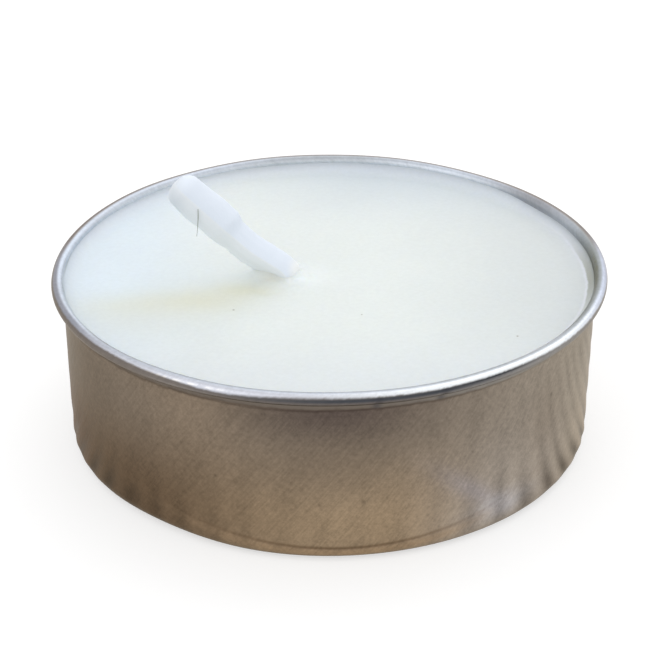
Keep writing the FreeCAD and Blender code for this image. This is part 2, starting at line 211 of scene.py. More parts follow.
def cup_points():
    """The outline turned round Z, less the wrinkles, plus what the press and use have bent.

    The crease wanders up and down, the collar is pinched at two notches, and the base's
    corner is pushed in a little at the front left, where the cup has been knocked.
    """
    angle = around(COLUMNS_ROUND_CUP)[None, :]
    across = np.repeat(cup_outline[:, :1], COLUMNS_ROUND_CUP, axis=1)
    level = np.repeat(cup_outline[:, 1:], COLUMNS_ROUND_CUP, axis=1)
    outside = np.arange(len(cup_outline))[:, None] < outside_rows
    below_bead = cup_curl[:, None] < 20
    beyond_base = across > BASE_EDGE
    degrees = front_degrees(angle)

    crest = wrinkle_crest(angle, level)
    depth = WRINKLE_DEPTH * wrinkle_strength(angle, level) * (1 - crest)
    across = across - np.where(outside & (level < CREASE_LEVEL), depth, 0)

    wander = 0.05 * np.sin(5 * angle + 0.7) + 0.035 * np.sin(9 * angle + 2)
    level = level + np.where(outside, wander * bump_at(level, CREASE_LEVEL, 0.6), 0)

    for notch in NOTCHES:
        pinched = bump_at(degrees, notch, NOTCH_WIDTH) * eased((level - CREASE_LEVEL) / 0.2)
        across = across - NOTCH_DEPTH * pinched * below_bead

    knocked = bump_at(degrees, KNOCK_DEGREES, KNOCK_WIDTH)
    across = across - KNOCK_DEPTH * knocked * eased((4.5 - level) / 4.5)
    level = level + 0.1 * knocked * eased((2.0 - level) / 2) * beyond_base

    out_of_round = 0.035 * np.sin(2 * angle + 0.8) + 0.025 * np.sin(3 * angle + 2.6)
    across = across + out_of_round * towards_rim(level) * beyond_base
    across = across - pressed_in(angle, level) * beyond_base
    rim_wave = 0.02 * np.sin(4 * angle + 1.1) + 0.012 * np.sin(11 * angle)
    rim_wave = rim_wave - 0.09 * bump_at(degrees, -88, 22)
    level = level + rim_wave * eased((level - CREASE_LEVEL - 0.3) / 1)
    across = np.minimum(across, RIM_RADIUS + 0.05)
    return np.stack([across * np.cos(angle), across * np.sin(angle), level], axis=2)


def closed_surface(name, points):
    """Make a mesh of a grid whose columns run round and whose end rows each become one point."""
    rows, columns = points.shape[:2]
    middle = points[1:-1].reshape(-1, 3)
    first, last = points[0].mean(axis=0), points[-1].mean(axis=0)
    vertices = np.concatenate([first[None], middle, last[None]]) * MILLIMETRE
    here = np.arange(columns)
    beside = (here + 1) % columns
    row = 1 + columns * np.arange(rows - 3)[:, None]
    quads = np.stack([row + here, row + beside, row + columns + beside, row + columns + here],
                     axis=2).reshape(-1, 4)
    start_row, end_row, end = 1, 1 + columns * (rows - 3), len(vertices) - 1
    start_fan = np.stack([np.zeros(columns, int), start_row + beside, start_row + here], axis=1)
    end_fan = np.stack([np.full(columns, end), end_row + here, end_row + beside], axis=1)
    mesh = bpy.data.meshes.new(name)
    mesh.from_pydata(vertices.tolist(), [], quads.tolist() + start_fan.tolist() + end_fan.tolist())
    mesh.shade_smooth()
    mesh.validate()
    piece = bpy.data.objects.new(name, mesh)
    bpy.context.scene.collection.objects.link(piece)
    return piece


def mark(piece, name, points):
    """Keep one number for each point of a grid with the mesh, for its material to read."""
    values = np.concatenate([[points[0].mean()], points[1:-1].ravel(), [points[-1].mean()]])
    layer = piece.data.attributes.new(name, "FLOAT", "POINT")
    layer.data.foreach_set("value", values.astype(np.float32))


class Socket:
    """An output socket in a material. Sums with it add Math nodes; node() adds any other."""

    def __init__(self, tree, socket=None):
        self.tree = tree
        self.socket = socket

    def node(self, kind, inputs=(), output=0, **settings):
        """Add a node: its settings first, then the numbers or links of its sockets."""
        made = self.tree.nodes.new(kind)
        for name, value in settings.items():
            setattr(made, name, value)
        for name, value in dict(inputs).items():
            if isinstance(value, Socket):
                self.tree.links.new(value.socket, made.inputs[name])
            else:
                made.inputs[name].default_value = value
        return Socket(self.tree, made.outputs[output])

    def maths(self, operation, *values):
        """Add a Math node that works on numbers or sockets."""
        return self.node("ShaderNodeMath", enumerate(values), operation=operation)

    def __add__(self, other):
        return self.maths("ADD", self, other)

    def __sub__(self, other):
        return self.maths("SUBTRACT", self, other)

    def __rsub__(self, other):
        return self.maths("SUBTRACT", other, self)

    def __mul__(self, other):
        return self.maths("MULTIPLY", self, other)

    def __truediv__(self, other):
        return self.maths("DIVIDE", self, other)

    def __pow__(self, other):
        return self.maths("POWER", self, other)

    __radd__ = __add__
    __rmul__ = __mul__

    def step(self, first, last):
        """0 before the first value, 1 after the last, and a smooth rise between them."""
        return self.node("ShaderNodeMapRange", {"Value": self, "From Min": first,
                                                "From Max": last},
                         interpolation_type="SMOOTHSTEP")

    def bell(self, middle, width):
        """The bell curve round a middle, from a Math node's exponent."""
        distance = (self - middle) / width
        return self.maths("EXPONENT", distance * distance * -1)

    def mixed(self, first, second):
        """The first colour where this socket is 0 and the second where it is 1."""
        return self.node("ShaderNodeMix", {0: self, 6: first, 7: second}, output=2,
                         data_type="RGBA")

    def unsigned(self):
        """This number without its sign."""
        return self.maths("ABSOLUTE", self)

    def part(self, axis):
        """One of a place's three numbers, by the name of its axis."""
        return self.node("ShaderNodeSeparateXYZ", {"Vector": self}, output="XYZ".index(axis))

    def scaled(self, factor):
        """A colour or a place times one number or socket."""
        return self.node("ShaderNodeVectorMath", {0: self, "Scale": factor}, operation="SCALE")

    def times(self, across, along, up):
        """A place with each of its three numbers multiplied."""
        return self.node("ShaderNodeVectorMath", {0: self, 1: (across, along, up)},
                         operation="MULTIPLY")

    def noise(self, scale, detail=3.0, roughness=0.5):
        """Blender's noise, 0 to 1, at a place in millimetres."""
        return self.node("ShaderNodeTexNoise", {"Vector": self, "Scale": scale,
                                                "Detail": detail, "Roughness": roughness})


def tint(red, green, blue):
    """A colour given as 0 to 255 on a screen, as the linear numbers that a shader takes."""
    share = np.array([red, green, blue]) / 255
    linear = np.where(share > 0.04045, ((share + 0.055) / 1.055) ** 2.4, share / 12.92)
    return (*linear.tolist(), 1.0)


def new_material(name, **constants):
    """A material with one Principled shader: returns it, its shader and its place in mm."""
    material = bpy.data.materials.new(name)
    material.use_nodes = True
    tree = material.node_tree
    shader = tree.nodes["Principled BSDF"]
    for socket, value in constants.items():
        shader.inputs[socket.replace("_", " ")].default_value = value
    place = Socket(tree).node("ShaderNodeTexCoord", output=3)
    return material, shader, place.scaled(1 / MILLIMETRE)


def polar(place):
    """A place's degrees round Z, 0 at the front and positive to the right, and its radius."""
    across, along = place.part("X"), place.part("Y")
    degrees = across.maths("ARCTAN2", across, along * -1) * (180 / math.pi)
    return degrees, (across * across + along * along) ** 0.5


def feed(shader, socket, value):
    """Link a value to the shader's socket of that name."""
    value.tree.links.new(value.socket, shader.inputs[socket])


def bumped(height, distance, after=None):
    """A Bump node on a height from 0 to 1, whose full height is a distance in mm."""
    inputs = {"Height": height, "Distance": distance * MILLIMETRE, "Strength": 1.0}
    if after is not None:
        inputs["Normal"] = after
    return height.node("ShaderNodeBump", inputs)


def colour_wall(degrees, level, crest):
    """The wall's colours: a warm, dull painted reflection of brown surroundings, lighter on the
    right, where more light falls.

    Down the wall one colour passes into another, and each of the two changes from the left
    to the right. Over them lie a patch of painted shade under the rim, darker patches of the
    painted reflection, a pale painted highlight along a knock, a painted highlight low on the
    right, and painted shade along a pressed line round the foot, along the bottom edge and in
    the wrinkles' valleys near the foot. The back, all one tan, joins the two sides.
    """
    # Painted reflection: upper and lower tones, darker on the left and lighter on the right.
    upper = degrees.step(0, 85).mixed(tint(120, 108, 95), tint(160, 151, 139))
    upper = (degrees.bell(-27, 13) * 0.5).mixed(upper, tint(140, 123, 104))
    # Painted shade: a dark patch under the rim at the front.
    shade_under_rim = degrees.bell(1, 17) * level.bell(11.4, 2.4)
    upper = (shade_under_rim * 0.95).mixed(upper, tint(88, 77, 72))
    upper = degrees.step(-56, -74).mixed(upper, tint(118, 107, 93))
    lower = degrees.step(-46, 6).mixed(tint(99, 81, 63), tint(153, 133, 108))
    lower = degrees.step(10, 38).mixed(lower, tint(156, 146, 135))
    lower = degrees.step(50, 74).mixed(lower, tint(164, 152, 136))
    lower = degrees.step(-56, -72).mixed(lower, tint(92, 66, 42))
    wall = level.step(10.0, 2.4).mixed(upper, lower)
    # Darker patches of the painted reflection, at the right, the front and the far left.
    darker_reflection = 0
    for middle, width, height, spread in ((50, 6, 6.6, 2.6), (0, 9, 7.2, 2.0),
                                          (-60, 12, 8.6, 2.4), (-71, 7, 9.4, 2.4)):
        darker_reflection = darker_reflection + degrees.bell(middle, width) * level.bell(height, spread)
    wall = (darker_reflection * 0.32).mixed(wall, tint(106, 93, 80))

    # Painted highlight: a pale streak slanting down along a knock mark on the right.
    knock_highlight = (degrees + level * 3.4).bell(43.0, 3.4) * level.bell(3.6, 2.2)
    wall = (knock_highlight * 0.4).mixed(wall, tint(156, 152, 160))
    # Painted highlight: a bluish-white patch low on the right.
    foot_highlight = degrees.bell(38, 7) * level.bell(1.9, 0.8)
    wall = (foot_highlight * 0.5).mixed(wall, tint(190, 190, 196))

    # Painted shade: a dark line along a pressed line round the front of the foot, with a lighter band
    # of painted reflection below it.
    pressed = level - (degrees - 2) * (degrees - 2) * 0.001
    near_front = degrees.bell(3, 26)
    wall = (pressed.bell(0.62, 0.34) * near_front * 0.7).mixed(wall, tint(160, 135, 107))
    wall = (pressed.bell(1.05, 0.12) * near_front * 0.7).mixed(wall, tint(96, 75, 56))
    behind = level.step(10.0, 2.4).mixed(tint(146, 138, 127), tint(136, 125, 110))
    wall = degrees.unsigned().step(94, 145).mixed(wall, behind)
    # Painted shade: darker along the bottom edge.
    wall = (level.step(0.42, 0.1) * 0.7).mixed(wall, tint(66, 50, 40))

    # Painted shade: darker in the wrinkles' valleys near the foot, at the left and the right.
    valley_shade = (1 - crest) * level.bell(1.4, 1.3) * (degrees.bell(62, 17) + degrees.bell(-58, 18))
    return (valley_shade * 0.75).mixed(wall, tint(66, 54, 42))


def colour_rim(degrees, curl, ripple):
    """The curl's colours, all painted reflection: dark below, a bright painted highlight over the
    outer shoulder and grey on its crown.

    A band of painted shade lies under the bright one at the front, where the curl turns under.
    The bright one starts lower on the left, where it has painted glints, is widest and whitest
    on the right, and has a ragged edge.
    """
    # Painted reflection below the bright band: dark, warmer at the front and greyer at the right and
    # the back.
    below = degrees.step(8, 32).mixed(tint(116, 109, 104), tint(137, 134, 132))
    below = (degrees.bell(-31, 10) * curl.step(2, -20) * 0.8).mixed(below, tint(138, 131, 126))
    # Painted shade: a dark band under the bright one at the front, and a darker line at the front
    # right.
    shaded = curl.bell(7, 23) * degrees.step(-34, 4) * degrees.step(44, 20)
    below = shaded.mixed(below, tint(68, 70, 75))
    below = (curl.bell(20, 11) * degrees.bell(32, 10) * 0.95).mixed(below, tint(48, 50, 56))
    far = degrees.unsigned()
    below = far.step(96, 150).mixed(below, tint(127, 121, 118))

    # Painted highlight: the bright band over the outer shoulder, whitest at the front right.
    over = degrees.step(-64, -42).mixed(tint(152, 155, 166), tint(203, 205, 214))
    over = degrees.step(-16, 25).mixed(over, tint(247, 251, 254))
    over = degrees.step(46, 80).mixed(over, tint(200, 208, 226))
    over = far.step(120, 170).mixed(over, tint(176, 181, 194))

    # Painted reflection: grey tones on the curl's crown, bluer at the left and the back.
    inner = degrees.step(-62, -50).mixed(tint(203, 213, 227), tint(174, 180, 190))
    inner = degrees.step(2, 30).mixed(inner, tint(167, 173, 180))
    inner = (degrees.bell(45, 10) * curl.step(92, 110) * 0.8).mixed(inner, tint(198, 202, 211))
    inner = degrees.step(52, 66).mixed(inner, tint(148, 154, 157))
    inner = far.step(92, 120).mixed(inner, tint(193, 200, 211))
    inner = (far.step(148, 176) * 0.9).mixed(inner, tint(172, 177, 183))
    inner = (far.step(100, 130) * curl.step(130, 170) * 0.5).mixed(inner, tint(222, 228, 234))
    # Painted reflection: a dark olive band inside the curl at the right.
    olive_reflection = degrees.bell(84, 10) * curl.step(106, 135) * (0.45 + ripple.step(0.42, 0.62) * 0.55)
    inner = olive_reflection.mixed(inner, tint(116, 117, 98))
    inner = (degrees.bell(124, 13) * 0.85).mixed(inner, tint(148, 149, 154))

    crown = 54 + degrees.step(-48, -62) * 22 + degrees.step(52, 72) * 12
    upper = (curl - crown).step(0, 35).mixed(over, inner)
    # Darker painted reflection on the outer side of the curl at the back.
    away = far.step(88, 104) * curl.step(120, 84)
    upper = (away * 0.85).mixed(upper, tint(124, 114, 108))
    edge = 38 + degrees.step(-33, -48) * 8 - degrees.bell(-21, 9) * 25
    edge = edge - degrees.bell(22, 17) * 8 - degrees.step(32, 62) * 11
    edge = edge + (36 - edge) * far.step(100, 160)
    ragged = edge + (ripple - 0.5) * 30
    softness = 12 + degrees.bell(-4, 11) * 9
    colour = ((curl - ragged) / softness).step(-1, 1).mixed(below, upper)
    # Painted glints along the bright band at the front left.
    sparkle = ripple.step(0.44, 0.62) * degrees.bell(-27, 8) * curl.bell(36, 9)
    return (sparkle * 0.6).mixed(colour, tint(250, 246, 240))


def make_aluminium():
    """Drawn aluminium whose colour is painted reflection: darker and warmer on the wall, and a
    bright painted highlight where the rim was rolled.

    Fine scratches slant across the wall, painted shade darkens the crease and the notches,
    and the crests of the wrinkles carry painted highlight and their valleys painted shade.
    """
    material, shader, place = new_material("drawn_aluminium", Metallic=1.0,
                                           Specular_Tint=(0.78, 0.74, 0.68, 1))
    degrees, level = polar(place)[0], place.part("Z")
    crest = place.node("ShaderNodeAttribute", output="Fac", attribute_name="crest")
    curl = place.node("ShaderNodeAttribute", output="Fac", attribute_name="curl")

    turn = level * math.radians(-2.4)
    leant = place.node("ShaderNodeVectorRotate", {"Vector": place, "Angle": turn},
                       rotation_type="Z_AXIS")
    scratches = leant.times(1, 1, 0.1).noise(6.0, 3.0, 0.6)
    grain = place.noise(3.4, 5.0, 0.8)
    cloud = place.times(1, 1, 0.7).noise(0.35, 4.0, 0.6)

    wall = colour_wall(degrees, level, crest)
    # Painted highlight on the wrinkles' crests and painted shade in their valleys, with real
    # scratches and a random cloudy tone.
    sheen_and_wear = (crest - 0.5) * 0.66 + (scratches - 0.5) * 0.55 + (cloud - 0.5) * 0.4
    value = sheen_and_wear + (grain - 0.5) * 0.95 + 0.98
    wall = wall.scaled(value)
    for pit_degrees, pit_level, size in ((-2.0, 4.3, 0.10), (6.6, 4.5, 0.12), (-23.0, 5.6, 0.08),
                                         (51.8, 8.2, 0.12)):
        pit = degrees.bell(pit_degrees, size * 3.2) * level.bell(pit_level, size * 1.3)
        wall = (pit * 0.4).mixed(wall, tint(62, 52, 44))

    # The collar above the crease has its own tones of painted reflection.
    collar = degrees.step(2, 46).mixed(tint(110, 101, 92), tint(138, 134, 128))
    collar = degrees.unsigned().step(94, 150).mixed(collar, tint(124, 118, 110))
    wall = level.step(CREASE_LEVEL + 0.1, CREASE_LEVEL + 0.25).mixed(wall, collar)
    # Painted shade: a dark wavering line along the crease.
    wander = (place.times(1, 1, 0).noise(0.9, 3.0, 0.6) - 0.5) * 0.5
    crease_shade = (level + wander).bell(CREASE_LEVEL + 0.12, 0.12) * (0.3 + cloud) * degrees.step(48, 20)
    wall = (crease_shade * 0.6).mixed(wall, tint(70, 58, 50))

    ripple = leant.times(1, 1, 0.2).noise(2.6, 4.0, 0.75)
    rim = colour_rim(degrees, curl, ripple)
    shimmer = (ripple - 0.5) * 0.5 + (grain - 0.5) * 0.3 + 1.0
    bead = curl.step(-126, -110)
    colour = bead.mixed(wall, rim.scaled(shimmer))
    # Painted shade: dark at the two notches under the curl.
    for notch in NOTCHES:
        notch_shade = degrees.bell(notch, 0.95) * curl.step(26, 14) * level.step(11.0, 11.3)
        colour = (notch_shade * 0.55).mixed(colour, tint(58, 58, 64))
    feed(shader, "Base Color", colour)
    feed(shader, "Roughness", 0.40 - bead * 0.06 + (scratches - 0.5) * 0.2)

    rippled = bumped(ripple, 0.02)
    feed(shader, "Normal", bumped(scratches * 0.6 + grain * 0.4, 0.004, rippled))
    return material


cup_grid = cup_points()
cup = closed_surface("tea_light_cup", cup_grid)
cup_angle = np.arctan2(cup_grid[:, :, 1], cup_grid[:, :, 0])
cup_level = cup_grid[:, :, 2]
crest_above_middle = wrinkle_crest(cup_angle, cup_level) - 0.5
mark(cup, "crest", 0.5 + crest_above_middle * wrinkle_strength(cup_angle, cup_level))
mark(cup, "curl", np.repeat(cup_curl[:, None], COLUMNS_ROUND_CUP, axis=1))
cup.data.materials.append(make_aluminium())
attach(cup, "root")
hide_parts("cup")


# The sustainer is a small stamped tinplate foot whose neck is squeezed round the wick. It
# lies on the cup's base under the wax, so only its finish is made here.
tinplate, tin_shader, tin_place = new_material("tinplate", Metallic=1.0)
tin_cloud = tin_place.noise(0.8, 4.0, 0.6)
feed(tin_shader, "Base Color", tin_cloud.mixed(tint(176, 174, 168), tint(208, 208, 206)))
feed(tin_shader, "Roughness", 0.24 + tin_cloud * 0.2)
feed(tin_shader, "Normal", bumped(tin_place.noise(9.0, 3.0, 0.6), 0.004))
for material_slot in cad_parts["wick_sustainer"].material_slots:
    material_slot.material = tinplate


# The wick is braided cotton soaked in wax. It stands in the sustainer, is pressed over where
# it leaves the wax, and its free end was dipped once more, which left a thick smooth club.
WAX_LEVEL = 11.5
WICK_FOOT = 0.55
WICK_PLACE = (-2.798, -0.544)
WICK_HEADING = math.radians(177)
WICK_RADIUS = 1.025
BEND_LEVEL = 10.876
BEND_LENGTH = 1.661
WICK_LEAN = 56
KINK_START = 3.207
KINK_LENGTH = 1.396
TIP_LEAN = 46
LENGTH_PAST_BEND = 10.71
LENGTH_PAST_WAX = 8.8
TIP_ROUND = 0.9
NECK_MIDDLE = 2.15
CRIMP_DEPTH = 0.12
CRIMP_WIDTH = 0.4
STEM_TOP = 10
STEM_CLEARANCE = 0.01
COLUMNS_ROUND_WICK = 96
WICK_RIDGE = 0.2


def wick_path(length):
    """Where the wick's middle is at a length from its foot, and the way that it points.

    It leans by an angle that is 0 up to the bend, grows evenly round it, holds, and falls
    a little at the kink. Its place is the running sum of its direction.
    """
    bend = BEND_LEVEL - WICK_FOOT
    turns = bend + np.array([0, BEND_LENGTH, KINK_START, KINK_START + KINK_LENGTH])
    lean = np.radians(np.interp(length, turns, [0, WICK_LEAN, WICK_LEAN, TIP_LEAN]))
    steps = np.diff(length, prepend=length[0])
    between = (lean + np.concatenate([lean[:1], lean[:-1]])) / 2
    out = np.cumsum(steps * np.sin(between))
    up = WICK_FOOT + np.cumsum(steps * np.cos(between))
    heading = np.array([math.cos(WICK_HEADING), math.sin(WICK_HEADING)])
    middle = np.stack([WICK_PLACE[0] + out * heading[0], WICK_PLACE[1] + out * heading[1], up],
                      axis=1)
    upper = np.stack([-np.cos(lean) * heading[0], -np.cos(lean) * heading[1], np.sin(lean)],
                     axis=1)
    return middle, upper


def wick_radius(past, turn):
    """How far the surface is from the middle, past the wax, at a turn from its upper side.

    The upper side, the lower side and the flanks each follow smooth steps along the wick,
    joined round it by the squares of the cosine and sine. The section is a soft diamond:
    its four corners give the facets of the flattened braid. Sines add the strands and the
    lumps, wax hangs below the stem in a ragged line, and next to the wax the wick is thinner
    at its lower front.
    """
    top = 1.02 + 0.33 * eased((past - 3.45) / 0.95) - 0.14 * eased((past - 4.9) / 3.2)
    low = 1.0 + 0.2 * eased((past - 2.9) / 1.2) + 0.09 * eased((past - 5.2) / 1.3)
    low = low - 0.09 * eased((past - 6.6) / 1.4)
    flank = 1.02 + 0.28 * eased((past - 3.4) / 1.3) - 0.08 * eased((past - 5.4) / 3.0)
    thinned = 0.14 * eased((1.6 - past) / 1.6) * bump_at(turn, 2.1, 0.9)
    upward = np.cos(turn)
    mixed = flank * np.sin(turn) ** 2 + np.where(upward > 0, top, low) * upward ** 2
    dipped = eased((past - 3.3) / 1.2)
    power = 1.36 + 0.22 * dipped
    ridge = turn + WICK_RIDGE
    squared = np.abs(np.cos(ridge)) ** power + np.abs(np.sin(ridge)) ** power
    mixed = mixed * squared ** (-1 / power) * (1.035 + 0.03 * (1 - dipped))

    strand = np.cos(5 * turn + past * 3.6) * np.cos(5 * turn - past * 3.6)
    lumps = np.sin(past * 1.9 + 2 * turn) * np.sin(past * 0.8 + turn + 1)
    mixed = mixed + (1 - dipped) * 0.014 * strand + (0.012 + 0.01 * dipped) * lumps
    ragged = 0.5 + 0.25 * np.sin(past * 7.1) + 0.25 * np.sin(past * 13.7 + 1)
    drip = bump_at(turn, math.pi, 0.4) * eased((3.3 - past) / 0.7) * eased((past + 0.8) / 1.2)
    mixed = mixed + drip * (0.03 + 0.1 * ragged) - thinned
    end = np.clip((past - LENGTH_PAST_WAX + TIP_ROUND) / TIP_ROUND, 0, 1)
    return mixed * (0.2 + 0.8 * np.sqrt(1 - end ** 2))


def wick_points():
    """The radius carried round the wick's path, from the closed tip down to the foot."""
    bend = BEND_LEVEL - WICK_FOOT
    total = bend + LENGTH_PAST_BEND
    closer_rows = bend - 0.6
    round_end = total - TIP_ROUND * (1 - np.linspace(0, 1, 16)[1:] ** 0.5)[::-1]
    length = np.concatenate([np.linspace(0, closer_rows, 20)[:-1],
                             np.arange(closer_rows, total - TIP_ROUND, 0.055), round_end])
    length = np.unique(np.round(length, 5))
    middle, upper = wick_path(length)
    flank = np.array([-math.sin(WICK_HEADING), math.cos(WICK_HEADING), 0])
    turn = around(COLUMNS_ROUND_WICK)[None, :]
    past = (LENGTH_PAST_WAX - total + length)[:, None]
    crimped = CRIMP_DEPTH * bump_at(middle[:, 2:], NECK_MIDDLE, CRIMP_WIDTH)
    stem = WICK_RADIUS - STEM_CLEARANCE - crimped
    radius = np.where(middle[:, 2:] < STEM_TOP, stem, wick_radius(past, turn))
    points = (middle[:, None, :] + (radius * np.cos(turn))[:, :, None] * upper[:, None, :]
              + (radius * np.sin(turn))[:, :, None] * flank)
    first = np.repeat(middle[:1, None, :], COLUMNS_ROUND_WICK, axis=1)
    last = np.repeat(middle[-1:, None, :], COLUMNS_ROUND_WICK, axis=1)
    return np.concatenate([first, points, last])[::-1]


def make_waxed_cotton():
    """White wax over cotton: bluish on its upper facet as painted light, and a little greyer
    below the ridge as painted shade.

    The tip's far end is darker, as painted shade, and the foot is whiter, as a painted
    highlight, and glossier where fresh wax wets it.
    """
    material, shader, place = new_material(
        "waxed_cotton", Subsurface_Weight=0.15, Subsurface_Scale=0.001,
        Subsurface_Radius=(1.0, 1.0, 1.0), Specular_IOR_Level=0.45)
    upper = place.node("ShaderNodeAttribute", output="Fac", attribute_name="upper")
    patch = place.noise(1.1, 3.0, 0.5)
    fibre = place.times(1, 1, 0.5).noise(5.5, 3.0, 0.6)
    # Painted light: bluish on the upper facet, and greyer below the ridge as painted shade.
    colour = upper.step(-0.02, 0.13).mixed(tint(240, 245, 251), tint(234, 242, 255))
    colour = (upper.step(-0.3, -0.8) * 0.6).mixed(colour, tint(237, 242, 246))
    # Painted shade at the tip's far end.
    colour = (place.part("X").step(-9.3, -10.6) * 0.9).mixed(colour, tint(222, 229, 236))
    colour = (fibre.step(0.55, 0.8) * 0.12).mixed(colour, tint(222, 226, 234))
    # Painted highlight: whiter at the foot, which is also glossier.
    foot = place.part("X").step(-3.0, -2.2) * place.part("Z").step(13.2, 12.2)
    colour = foot.mixed(colour, tint(252, 255, 255))
    feed(shader, "Base Color", colour)
    feed(shader, "Roughness", 0.34 + fibre * 0.2 - foot * 0.12)
    feed(shader, "Normal", bumped(fibre, 0.012, bumped(patch, 0.05)))
    return material


wick_grid = wick_points()
wick = closed_surface("tea_light_wick", wick_grid)
mark(wick, "upper", np.repeat(np.cos(around(COLUMNS_ROUND_WICK)[None, :] + WICK_RIDGE),
                              len(wick_grid), axis=0))
wick.data.materials.append(make_waxed_cotton())
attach(wick, "root")
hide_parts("wick")


# One loose cotton fibre, darkened by dust, sticks to the dipped end and hangs from it.
FIBRE_TOP = (-8.72, -1.58, 17.0)
FIBRE_DROP = 2.0
FIBRE_RADIUS = 0.024


def fibre_points():
    """A thin round thread that hangs straight down with a slight bow, closed at both ends."""
    fall = np.linspace(0, 1, 24)[:, None]
    turn = around(10)[None, :]
    thin = FIBRE_RADIUS * (0.55 + 0.45 * np.sin(math.pi * np.clip(fall + 0.15, 0, 1)))
    across = FIBRE_TOP[0] - 0.16 * fall ** 2 + thin * np.cos(turn)
    along = FIBRE_TOP[1] + thin * np.sin(turn)
    up = np.repeat(FIBRE_TOP[2] - FIBRE_DROP * fall, 10, axis=1)
    points = np.stack([across, along, up], axis=2)[::-1]
    ends = points.mean(axis=1, keepdims=True).repeat(10, axis=1)
    return np.concatenate([ends[:1], points, ends[-1:]])


fibre = closed_surface("stray_cotton_fibre", fibre_points())
dusty, dusty_shader, dusty_place = new_material("dusty_cotton", Roughness=0.8)
feed(dusty_shader, "Base Color",
     dusty_place.noise(4.0, 2.0, 0.5).mixed(tint(120, 124, 112), tint(160, 163, 150)))
fibre.data.materials.append(dusty)
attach(fibre, "root")


# The wax is white paraffin poured hot round the wick. It shrank back as it set, which left
# a curved edge up the cup's wall, a collar round the wick, and a thin film inside the curl at
# the left and the back.
MENISCUS_RISE = 0.4
MENISCUS_WIDTH = 0.8
MENISCUS_STEEPNESS = 0.98
FILM_RISE = 0.44
FILM_REACH = 0.09
INNER_WALL = COLLAR_OUTSIDE - SHEET
HIDDEN_GAP = 0.3
CLOSE_RINGS_RADIUS = 6.5
WAX_COLUMNS = 480
WAX_DROPS = ((-1.75, -0.8, 0.26, 0.6), (-2.13, 0.94, 0.15, 0.34),
             (-1.96, -1.75, 0.22, 0.4), (-2.7, -1.9, 0.12, 0.3))


def wax_film(angle):
    """1 where wax has crept up the inside of the curl, round the left and the back, else 0."""
    degrees = front_degrees(angle)
    return np.maximum(eased((degrees - 118) / 16), eased((-degrees - 60) / 25))


def wax_reach(angle):
    """How far out the wax's top goes: to the cup's wall, and under a film onto the curl."""
    return INNER_WALL + 0.02 + FILM_REACH * wax_film(angle) - pressed_in(angle, CUP_HEIGHT)


def wax_level(across, along):
    """The height of the wax's top at a place: level, with all that stands up on it.

    An arc climbs the wall, a collar falls away round the wick, a tongue of wax lies under it,
    and drops lie against its right side, each a bell of its own place, height and width. A
    faint hollow rings the front left, and slow waves keep the surface from being flat.
    """
    radius = np.hypot(across, along)
    angle = np.arctan2(along, across)
    film = wax_film(angle)
    uneven = 0.03 * np.sin(6 * angle + 1) + 0.02 * np.sin(17 * angle)
    climb = MENISCUS_RISE + FILM_RISE * film + uneven
    width = MENISCUS_WIDTH * (1 + film)
    nearness = np.clip((radius - wax_reach(angle) + width) / width, 0, 1)
    curved = 1 - np.sqrt(1 - MENISCUS_STEEPNESS * nearness ** 2)
    edge = climb * curved / (1 - math.sqrt(1 - MENISCUS_STEEPNESS))

    heading = np.array([math.cos(WICK_HEADING), math.sin(WICK_HEADING)])
    out = (across - WICK_PLACE[0]) * heading[0] + (along - WICK_PLACE[1]) * heading[1]
    side = -(across - WICK_PLACE[0]) * heading[1] + (along - WICK_PLACE[1]) * heading[0]
    ripple = 1 + 0.12 * np.sin(5 * np.arctan2(side, out) + 0.5)
    gap = np.hypot(np.where(out > 0, out / 1.5, out), side) / ripple - WICK_RADIUS * 0.95
    collar = (0.45 - 0.12 * eased(side) - 0.2 * eased(-out)) * np.exp(-np.maximum(gap, 0) / 0.5)
    tongue = 0.45 * bump_at(out, 1.5, 1.15) * bump_at(side, 0.1, 0.6)
    drops = 0
    for drop_across, drop_along, drop_height, drop_width in WAX_DROPS:
        away = np.hypot(across - drop_across, along - drop_along)
        drops = drops + drop_height * bump_at(away, 0, drop_width)
    hollow = -0.05 * bump_at(np.hypot(across + 4.0, along + 2.3), 1.0, 0.35) * (along < 0)
    slow = 0.02 * np.sin(across * 0.45 + 1) * np.sin(along * 0.38) - 0.05 * (radius / 18) ** 2
    return WAX_LEVEL + edge + collar + tongue + drops + hollow + slow


def wax_points():
    """Rings of the top from the middle outwards, then down the cup's inside to its base."""
    angle = around(WAX_COLUMNS)[None, :]
    close = np.linspace(0, CLOSE_RINGS_RADIUS, 62)[:, None].repeat(WAX_COLUMNS, axis=1)
    share = 1 - (1 - np.linspace(0, 1, 46)[1:, None]) ** 2.2
    outwards = CLOSE_RINGS_RADIUS + (wax_reach(angle) - CLOSE_RINGS_RADIUS) * share
    radii = np.concatenate([close, outwards])
    across, along = radii * np.cos(angle), radii * np.sin(angle)
    top = np.stack([across, along, wax_level(across, along)], axis=2)
    hidden_side = FOOT_OUTSIDE - SHEET - HIDDEN_GAP
    side_outline = np.array([[INNER_WALL + 0.01, 11.3], [CREASE_OUTSIDE - SHEET - 0.02, 10.9],
                             [hidden_side, 9.5], [hidden_side, 1.6],
                             [FOOT_MIDDLE + 0.2, 0.45], [FOOT_MIDDLE - 0.4, 0.3],
                             [SLOPE_FOOT, 0.3], [13.0, 0.6], [0, 0.6]])
    side_level = np.repeat(side_outline[:, 1:], WAX_COLUMNS, axis=1)
    side_radii = side_outline[:, :1] - pressed_in(angle, side_level)
    side = np.stack([side_radii * np.cos(angle), side_radii * np.sin(angle), side_level], axis=2)
    return np.concatenate([top, side])[::-1]


